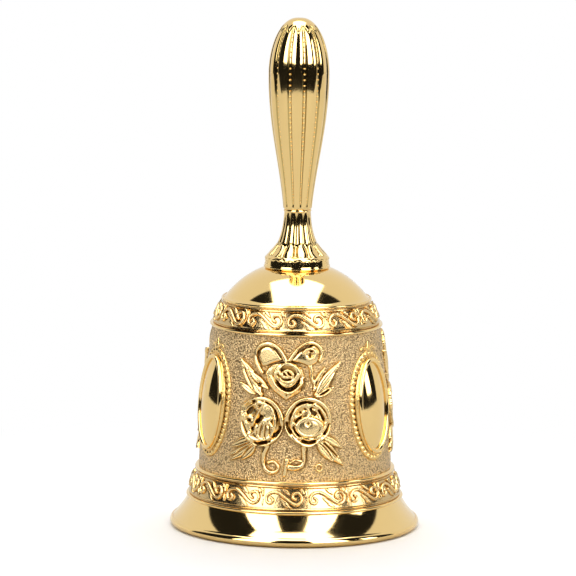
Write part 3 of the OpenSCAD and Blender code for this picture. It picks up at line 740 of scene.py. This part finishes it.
def foot_push(z, off, height):
    """How far the foot stands out at a height, at a share of half a petal from its middle, and its painted
    shade.
    """
    if z > height - COLLAR_H:
        return COLLAR_PROUD * math.sin(math.pi * min(1, (z - height + COLLAR_H) / COLLAR_ROUND)), 0.0
    push, shade = 0.0, 0.0
    if z < PETAL_TOP + 0.6:
        k = math.hypot(off / PETAL_W, (z - PETAL_MID) / PETAL_H)
        push = PETAL_PROUD * max(0, 1 - k ** 3) ** 0.6
        line = math.exp(-((k - LINE_OUT) / LINE_W) ** 2)
        bud = math.hypot((1 - abs(off)) / BUD_W, (z - PETAL_MID) / BUD_H)
        push += -LINE_DEPTH * line if bud > 1 else BUD_PROUD * math.sqrt(1 - bud * bud)
        shade = LINE_SHADE * line if bud > 1 else 0.0
    if z < RUFFLE_TOP:
        wave = RUFFLE_WAVE * math.cos(2 * math.pi * off)
        ruffle = math.sqrt(max(0, 1 - ((z - RUFFLE_Z + wave) / RUFFLE_H) ** 2))
        push = max(push, RUFFLE_PROUD * ruffle)
        shade *= 1 - ruffle
    if z > PETAL_TOP - 0.7:
        share = min(1, (z - PETAL_TOP + 0.7) / 0.8) * min(1, (height - COLLAR_H - z) / 2)
        flute = FLUTE_DEPTH * foot_r(z) * (math.sqrt(max(0, 1 - (abs(off) * 0.98) ** 2)) - 0.8) * share
        push = max(push, flute) if z < PETAL_TOP else flute
        shade = max(shade, FLUTE_SHADE * share * math.exp(-((1 - abs(off)) / FLUTE_LINE_W) ** 2))
    return push, shade


def foot_form():
    height = FOOT_TOP - CUP_H
    heights = [0.02 + RING_TOP * i / RING_ROWS for i in range(RING_ROWS + 1)]
    petal_foot = RING_TOP + 0.1
    heights += [petal_foot + (height - petal_foot) * i / FOOT_ROWS for i in range(FOOT_ROWS + 1)]
    outline = [(BOLT_HOLE_R, 0.0), (SEAT_FLAT_R, 0.0)] + [(foot_r(z), z) for z in heights]
    outline += [(BOLT_HOLE_R, height)]
    bm = turned(outline, PETALS, 24)
    shade_and_patina = bm.verts.layers.float.new("shade_and_patina")
    half_step = 180 / PETALS
    for v in bm.verts:
        r = math.hypot(v.co.x, v.co.y)
        if v.co.z > RING_TOP and r > BOLT_HOLE_R + 0.5:
            around = math.degrees(math.atan2(v.co.x, -v.co.y)) - FOOT_TURN
            off = ((around + half_step) % (2 * half_step) - half_step) / half_step
            push, v[shade_and_patina] = foot_push(v.co.z, off, height)
            v.co.xy *= 1 + push / r
    bmesh.ops.translate(bm, vec=(0, 0, CUP_H), verts=bm.verts)
    return bm


# Materials

GOLD = (0.91, 0.65, 0.27)
# The warm half tone and the darkest tone of the painted shade and patina in recesses
HALF_SHADE = (0.72, 0.40, 0.10)
SHADE = (0.030, 0.012, 0.003)


def new_material(name):
    material = bpy.data.materials.new(name)
    material.use_nodes = True
    tree = material.node_tree
    return material, tree, tree.nodes["Principled BSDF"]


def new_group(name, *outputs):
    """A node group that takes coordinates and gives numbers."""
    tree = bpy.data.node_groups.new(name, "ShaderNodeTree")
    tree.interface.new_socket(name="Coords", in_out="INPUT", socket_type="NodeSocketVector")
    for title in outputs:
        tree.interface.new_socket(name=title, in_out="OUTPUT", socket_type="NodeSocketFloat")
    return tree, tree.nodes.new("NodeGroupInput").outputs["Coords"], tree.nodes.new("NodeGroupOutput").inputs


def add(tree, kind, inputs=None, **settings):
    """A shader node with its settings. Each input is linked to a socket, or set to a number or a colour."""
    node = tree.nodes.new("ShaderNode" + kind)
    for title, value in settings.items():
        setattr(node, title, value)
    for title, value in (inputs or {}).items():
        if isinstance(value, bpy.types.NodeSocket):
            tree.links.new(value, node.inputs[title])
        else:
            node.inputs[title].default_value = (*value, 1) if isinstance(value, tuple) else value
    return node


def math_node(tree, operation, *values):
    return add(tree, "Math", dict(enumerate(values)), operation=operation).outputs[0]


def ramp(tree, value, start, end, low=0.0, high=1.0, kind="SMOOTHSTEP"):
    """Goes from low to high as the value goes from start to end."""
    if start > end:
        start, end, low, high = end, start, high, low
    spans = {"Value": value, "From Min": start, "From Max": end, "To Min": low, "To Max": high}
    return add(tree, "MapRange", spans, interpolation_type=kind).outputs["Result"]


def noise(tree, coords, scale, detail):
    return add(tree, "TexNoise", {"Vector": coords, "Scale": scale, "Detail": detail}).outputs["Fac"]


# The smudges, the fine grain and the grains of the punched ground, per metre
SMUDGE_SCALE, GRAIN_SCALE, STIPPLE_SCALE = 90, 1400, 2500


def handling_group():
    """Fine unevenness of a plated surface: Smudge is broad and soft, Grain is fine."""
    tree, coords, results = new_group("handling", "Smudge", "Grain")
    tree.links.new(noise(tree, coords, SMUDGE_SCALE, 3), results["Smudge"])
    tree.links.new(noise(tree, coords, GRAIN_SCALE, 2), results["Grain"])
    return tree


def stipple_group():
    """A punched ground: raised grains of uneven size with painted shade between them."""
    tree, coords, results = new_group("stipple", "Height", "Gaps")
    places = {"Vector": coords, "Scale": STIPPLE_SCALE, "Smoothness": 0.35}
    distance = add(tree, "TexVoronoi", places, feature="SMOOTH_F1").outputs["Distance"]
    tree.links.new(ramp(tree, distance, 0.0, 0.75, 1.0, 0.0), results["Height"])
    tree.links.new(ramp(tree, distance, 0.35, 0.75), results["Gaps"])
    return tree


HANDLING = handling_group()
STIPPLE = stipple_group()


# A mix node's two inputs and its output for each kind of data
MIX_SOCKETS = {"FLOAT": (2, 3, 0), "RGBA": (6, 7, 2)}


def mixed(tree, share, first, second, kind="RGBA"):
    """A colour or a number between two: each of them may be a socket."""
    one, other, result = MIX_SOCKETS[kind]
    return add(tree, "Mix", {0: share, one: first, other: second}, data_type=kind).outputs[result]


def bump(tree, shader, height, strength, distance):
    node = add(tree, "Bump", {"Height": height, "Strength": strength, "Distance": distance})
    tree.links.new(node.outputs[0], shader.inputs["Normal"])


# Heights of the punched grains and of the fine grain, in metres
STIPPLE_H, GRAIN_H = 0.0003, 0.0001
# How dark the painted shade between the punched grains is, and how much rougher a recess is
GAP_SHADE, RECESS_ROUGH = 0.75, 0.25


def metal(name, colour, roughness, spread, deepest_shade=None, uneven=0.06, half_shade=None, stipple=0.0, fine=0.0):
    """A metal: its roughness varies by spread, and its recesses get painted shade and patina, going through a
    warm half tone to the deepest shade.
    """
    material, tree, shader = new_material(name)
    coords = add(tree, "TexCoord").outputs["Object"]
    handling = add(tree, "Group", {"Coords": coords}, node_tree=HANDLING)
    shader.inputs["Metallic"].default_value = 1.0
    tone = mixed(tree, handling.outputs["Smudge"], tuple(c * (1 - uneven) for c in colour), colour)
    rough = ramp(tree, handling.outputs["Smudge"], 0.3, 0.7, roughness - spread, roughness + spread, "LINEAR")
    if stipple:
        grains = add(tree, "Group", {"Coords": coords}, node_tree=STIPPLE)
        # Painted shade between the punched grains
        tone = mixed(tree, math_node(tree, "MULTIPLY", grains.outputs["Gaps"], GAP_SHADE), tone, deepest_shade)
        bump(tree, shader, grains.outputs["Height"], stipple, STIPPLE_H)
    elif fine:
        bump(tree, shader, handling.outputs["Grain"], fine, GRAIN_H)
    # Painted shade and patina in the recesses, which are rougher too
    if half_shade:
        shade_and_patina = add(tree, "Attribute", attribute_name="shade_and_patina").outputs["Fac"]
        tone = mixed(tree, ramp(tree, shade_and_patina, 0.0, 0.5), tone, half_shade)
        dark = ramp(tree, shade_and_patina, 0.3, 0.95)
        tone = mixed(tree, dark, tone, deepest_shade)
        rough = math_node(tree, "ADD", rough, math_node(tree, "MULTIPLY", dark, RECESS_ROUGH))
    tree.links.new(tone, shader.inputs["Base Color"])
    tree.links.new(rough, shader.inputs["Roughness"])
    return material


polished = metal("polished_gold", GOLD, 0.075, 0.025, fine=0.03)
chased = metal("chased_gold", GOLD, 0.075, 0.025, fine=0.03, deepest_shade=SHADE, half_shade=(0.50, 0.36, 0.12))
band_ground = metal("band_gold", (0.64, 0.46, 0.21), 0.18, 0.05, fine=0.35, deepest_shade=SHADE, half_shade=HALF_SHADE)
band_relief = metal("band_relief_gold", (0.84, 0.60, 0.27), 0.22, 0.05, deepest_shade=SHADE, half_shade=HALF_SHADE, fine=0.12)
cast = metal("cast_gold", (0.92, 0.68, 0.32), 0.22, 0.05, deepest_shade=SHADE, half_shade=HALF_SHADE, fine=0.12)
border_gold = metal("border_gold", (0.87, 0.59, 0.22), 0.26, 0.05, deepest_shade=SHADE, half_shade=HALF_SHADE, fine=0.12)
stippled = metal("stippled_gold", (0.84, 0.61, 0.31), 0.36, 0.05, deepest_shade=(0.16, 0.09, 0.035), stipple=0.9,
                 half_shade=(0.66, 0.45, 0.19))
inner = metal("unpolished_gold", (0.72, 0.48, 0.20), 0.38, 0.08, fine=0.5)
steel = metal("plated_steel", (0.62, 0.62, 0.60), 0.22, 0.06, fine=0.2)
brass = metal("clapper_brass", (0.78, 0.56, 0.24), 0.2, 0.06, fine=0.2)


# The studio

# The table is round in front and square from its shoulders back, in metres
TABLE_R, TABLE_SHOULDER, TABLE_BACK, TABLE_SIDE = 0.68, 0.2, 1.6, 1.6
TABLE_SEEN, TABLE_REFLECTED = 0.93, 0.70
# Where its shading gives way to plain white
SHADED_R, WHITE_R = 0.05, 0.16


def card(tree, across, up, sides, heights, soft):
    """A card as a mask over two coordinates of the direction, with soft edges."""
    mask = 1.0
    for value, (start, end) in ((across, sides), (up, heights)):
        for edge, way in ((start, soft), (end, -soft)):
            mask = math_node(tree, "MULTIPLY", mask, ramp(tree, value, edge - way, edge + way))
    return mask


# Each card's sides and heights as seen from the bell, in degrees from the front, and its brightness.
# The first one is the dark room round the camera.
CARDS = [
    ((-104, 108), (-40, 74), 0.015), ((-54, -17), (8, 66), 4.5), ((22, 56), (8, 66), 6.0),
    ((72, 87), (5, 31), 4.5)]
# The card overhead: its sides and its back and front edges, a metre up, in metres
OVERHEAD_SIDES, OVERHEAD_DEPTH, OVERHEAD_LIGHT = (-0.46, 0.42), (-0.42, 0.38), 4.0
# How soft the edges are, in degrees and in metres
CARD_SOFT, OVERHEAD_SOFT = 1.2, 0.02
BACKDROP = 0.88
# The soft light on the table goes from dark in front to bright behind the bell
AMBIENT_SPAN, AMBIENT = (-0.7, 0.7), (0.1, 1.9)


def studio_world():
    """White for the camera and for soft light, and a set of studio cards for reflections."""
    world = bpy.data.worlds.new("studio")
    bpy.context.scene.world = world
    world.use_nodes = True
    tree = world.node_tree
    split = add(tree, "SeparateXYZ", {0: add(tree, "TexCoord").outputs["Generated"]})
    front = math_node(tree, "MULTIPLY", split.outputs["Y"], -1.0)
    turn = math_node(tree, "MULTIPLY", math_node(tree, "ARCTAN2", split.outputs["X"], front), 180 / math.pi)
    rise = math_node(tree, "MULTIPLY", math_node(tree, "ARCSINE", split.outputs["Z"]), 180 / math.pi)
    level = BACKDROP
    for sides, heights, brightness in CARDS:
        level = mixed(tree, card(tree, turn, rise, sides, heights, CARD_SOFT), level, brightness, "FLOAT")
    height = math_node(tree, "MAXIMUM", split.outputs["Z"], 0.05)
    across = math_node(tree, "DIVIDE", split.outputs["X"], height)
    ahead = math_node(tree, "DIVIDE", front, height)
    overhead = card(tree, across, ahead, OVERHEAD_SIDES, OVERHEAD_DEPTH, OVERHEAD_SOFT)
    level = mixed(tree, overhead, level, OVERHEAD_LIGHT, "FLOAT")
    ambient = ramp(tree, split.outputs["Y"], *AMBIENT_SPAN, *AMBIENT, "LINEAR")
    light_path = add(tree, "LightPath")
    seen = mixed(tree, light_path.outputs["Is Glossy Ray"], ambient, level, "FLOAT")
    seen = mixed(tree, light_path.outputs["Is Camera Ray"], seen, 1.0, "FLOAT")
    background = tree.nodes["Background"]
    background.inputs["Color"].default_value = (1, 1, 1, 1)
    tree.links.new(seen, background.inputs["Strength"])


def floor():
    """A white table top. Away from the bell the camera sees it as plain white, like the backdrop."""
    bm = bmesh.new()
    edge = arc((0, 0), TABLE_R, -160, -20, 28) + [(TABLE_SIDE, TABLE_SHOULDER), (TABLE_SIDE, TABLE_BACK)]
    edge += [(-TABLE_SIDE, TABLE_BACK), (-TABLE_SIDE, TABLE_SHOULDER)]
    bm.faces.new([bm.verts.new((x, y, 0)) for x, y in edge])
    mesh = bpy.data.meshes.new("floor")
    bm.to_mesh(mesh)
    bm.free()
    material, tree, shader = new_material("white_floor")
    shader.inputs["Roughness"].default_value = 0.7
    away = add(tree, "VectorMath", {0: add(tree, "TexCoord").outputs["Object"]}, operation="LENGTH")
    far = ramp(tree, away.outputs["Value"], SHADED_R, WHITE_R)
    light_path = add(tree, "LightPath")
    tone = mixed(tree, light_path.outputs["Is Glossy Ray"], (TABLE_SEEN,) * 3, (TABLE_REFLECTED,) * 3)
    tree.links.new(tone, shader.inputs["Base Color"])
    plain = math_node(tree, "MULTIPLY", far, light_path.outputs["Is Camera Ray"])
    mix = add(tree, "MixShader", {0: plain, 1: shader.outputs[0], 2: add(tree, "Emission").outputs[0]})
    tree.links.new(mix.outputs[0], tree.nodes["Material Output"].inputs["Surface"])
    mesh.materials.append(material)
    plane = placed("floor", mesh)


CAMERA_DISTANCE, CAMERA_HEIGHT = 1.0, 0.205
CAMERA_TURN, CAMERA_PITCH, CAMERA_ROLL = math.radians(4.5), math.radians(8.05), math.radians(0.6)
CAMERA_ASIDE = -0.00231
CAMERA_LENS, CAMERA_SENSOR = 237.7, 36
LIGHT_SIZE, LIGHT_PLACE, LIGHT_POWER = (0.9, 0.7), (0, -0.1, 1.2), 3.0


def camera():
    """The photograph's view: a metre away, a little above, and turned a few degrees to the right."""
    data = bpy.data.cameras.new("camera")
    data.lens = CAMERA_LENS
    data.sensor_width = CAMERA_SENSOR
    obj = placed("camera", data)
    turn = Matrix.Rotation(CAMERA_TURN, 4, "Z")
    place = Matrix.Translation((CAMERA_ASIDE, -CAMERA_DISTANCE, CAMERA_HEIGHT))
    pitch = Matrix.Rotation(math.pi / 2 - CAMERA_PITCH, 4, "X")
    roll = Matrix.Rotation(CAMERA_ROLL, 4, "Z")
    obj.matrix_world = turn @ place @ pitch @ roll
    bpy.context.scene.camera = obj


def key_light():
    """A soft light over the bell, which its metal doesn't mirror."""
    data = bpy.data.lights.new("overhead", "AREA")
    data.shape = "RECTANGLE"
    data.size, data.size_y = LIGHT_SIZE
    data.energy = LIGHT_POWER
    obj = placed("overhead", data)
    obj.location = LIGHT_PLACE
    obj.visible_glossy = False


# The pieces

# The cup's slots after the first, which is polished
BAND, PANEL, INSIDE = 1, 2, 3
# How far the ornament's shade reaches over the ground, and how dark it gets
SHADE_REACH, SHADE_DARKEST = 1.8, 0.8
GRAIN_SEED, GRAIN = 11, 0.1
PANEL_MARGIN = 0.2
CUP_SECTORS, CUP_STEPS = 12, 30
# How far under the surface the cup still counts as its outside
SKIN = 0.7


def panel_patterns(turn, z):
    """Heights of the spray or of the medallion's border at a place on the wall: turn is in radians."""
    near_spray = (np.degrees(turn) + 60) % 120 - 60
    near_oval = np.degrees(turn) % 120 - 60
    y = z - PANEL_MID
    around = np.radians(1) * wall_r(z)
    return np.maximum(spray(near_spray * around, y), medallion_border(near_oval * around, y + OVAL_DROP))


def make_cup():
    """The cup's shell: its panel's ground is uneven, and has painted shade and patina where it meets the
    ornament.
    """
    bm = turned(cup_outline(), CUP_SECTORS, CUP_STEPS)
    places = np.array([v.co for v in bm.verts])
    x, y, z = places.T
    r = np.hypot(x, y)
    low, high = LOW_BAND_TOP + BEAD_R + PANEL_MARGIN, HIGH_BAND_Z - BEAD_R - PANEL_MARGIN
    ground = np.nonzero((low < z) & (z < high) & (r > wall_r(z) - SKIN))[0]
    # Painted shade and patina on the ground beside the ornament, darkest right next to the relief
    ground_shade = np.zeros(len(places))
    heights = panel_patterns(np.arctan2(x[ground], -y[ground]), z[ground])
    ground_shade[ground] = np.clip(1 + heights / SHADE_REACH, 0, 1) * SHADE_DARKEST
    grain = np.random.default_rng(GRAIN_SEED).uniform(-GRAIN, GRAIN, len(places))
    out = np.ones(len(places))
    out[ground] += grain[ground] / r[ground]
    shade_and_patina = bm.verts.layers.float.new("shade_and_patina")
    for v, k, dark in zip(bm.verts, out, ground_shade):
        v.co.xy *= k
        v[shade_and_patina] = dark
    for f in bm.faces:
        middle = f.calc_center_median()
        r, z = math.hypot(middle.x, middle.y), middle.z
        if LOW_BAND_TOP + BEAD_R < z < HIGH_BAND_Z - BEAD_R and r > wall_r(z) - SKIN:
            f.material_index = PANEL
        elif (LOW_BAND_Z + BEAD_R < z < LOW_BAND_TOP - BEAD_R and r > low_band_r(z) - SKIN
              or HIGH_BAND_Z + BEAD_R < z < HIGH_BAND_TOP - BEAD_R and r > high_band_r(z) - SKIN):
            f.material_index = BAND
        elif f.normal.x * middle.x + f.normal.y * middle.y < 0 and z < CUP_H - 0.5:
            f.material_index = INSIDE
    cup = finished("cup", bm, [polished, band_ground, stippled, inner])
    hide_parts("bell_cup")


def three(name, bm, material):
    """A piece, and two copies of it a third and two thirds of the way round."""
    for i in range(3):
        turned_copy = bm.copy()
        bmesh.ops.rotate(turned_copy, verts=turned_copy.verts, cent=(0, 0, 0),
                         matrix=Matrix.Rotation(2 * math.pi * i / 3, 3, "Z"))
        finished(f"{name}_{i + 1}", turned_copy, [material], sharp=0)
    bm.free()


# Width and height of the relief's sheets, and the plain margin beside a band's beads
SPRAY_SHEET, BORDER_SHEET = (34, 37.4), (18.4, 35.6)
BAND_MARGIN = 1.9
MEDALLION_TURN = 60


def make_ornament():
    bm = relief(*SPRAY_SHEET, spray)
    wrap(bm, 0, PANEL_MID, wall_r)
    three("rose_spray", bm, cast)
    oval_mid = PANEL_MID - OVAL_DROP
    bm = relief(*BORDER_SHEET, medallion_border)
    wrap(bm, MEDALLION_TURN, oval_mid, wall_r)
    three("medallion_border", bm, border_gold)
    for name, bm in (("bezel", oval_bezel()), ("dome", oval_dome())):
        stand(bm, MEDALLION_TURN, oval_mid, wall_r)
        bmesh.ops.recalc_face_normals(bm, faces=bm.faces)
        three(f"medallion_{name}", bm, polished)
    for name, count, start, bottom, top, radius_at in (
            ("low", LOW_SCROLLS, LOW_SCROLL_TURN, LOW_BAND_Z, LOW_BAND_TOP, low_band_r),
            ("high", HIGH_SCROLLS, HIGH_SCROLL_TURN, HIGH_BAND_Z, HIGH_BAND_TOP, high_band_r)):
        middle = (bottom + top) / 2
        around = 2 * math.pi * radius_at(middle)
        band = relief(around, top - bottom - BAND_MARGIN, scroll_rows(around / count),
                      columns=round(around / BAND_POINT_GAP))
        for v in band.verts:
            v.co.x *= radius_at(middle + v.co.y) / radius_at(middle)
        wrap(band, start, middle, radius_at)
        bmesh.ops.remove_doubles(band, verts=band.verts, dist=1e-3)
        finished(f"scroll_band_{name}", band, [band_relief], sharp=0)


def make_handle():
    grip = finished("grip", grip_body(), [chased], sharp=50)
    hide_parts("handle_grip")
    finished("grip_beads", grip_beads(), [polished], sharp=0)
    foot = finished("foot", foot_form(), [chased], sharp=50)
    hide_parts("handle_foot")


def dress_fittings():
    """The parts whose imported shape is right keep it, and get their metal."""
    for name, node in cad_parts.items():
        material = brass if name.startswith("clapper_ball") else steel
        node.data.materials.clear()
        node.data.materials.append(material)


studio_world()
floor()
camera()
key_light()
bpy.context.scene.view_settings.view_transform = "Standard"
make_cup()
make_ornament()
make_handle()
dress_fittings()
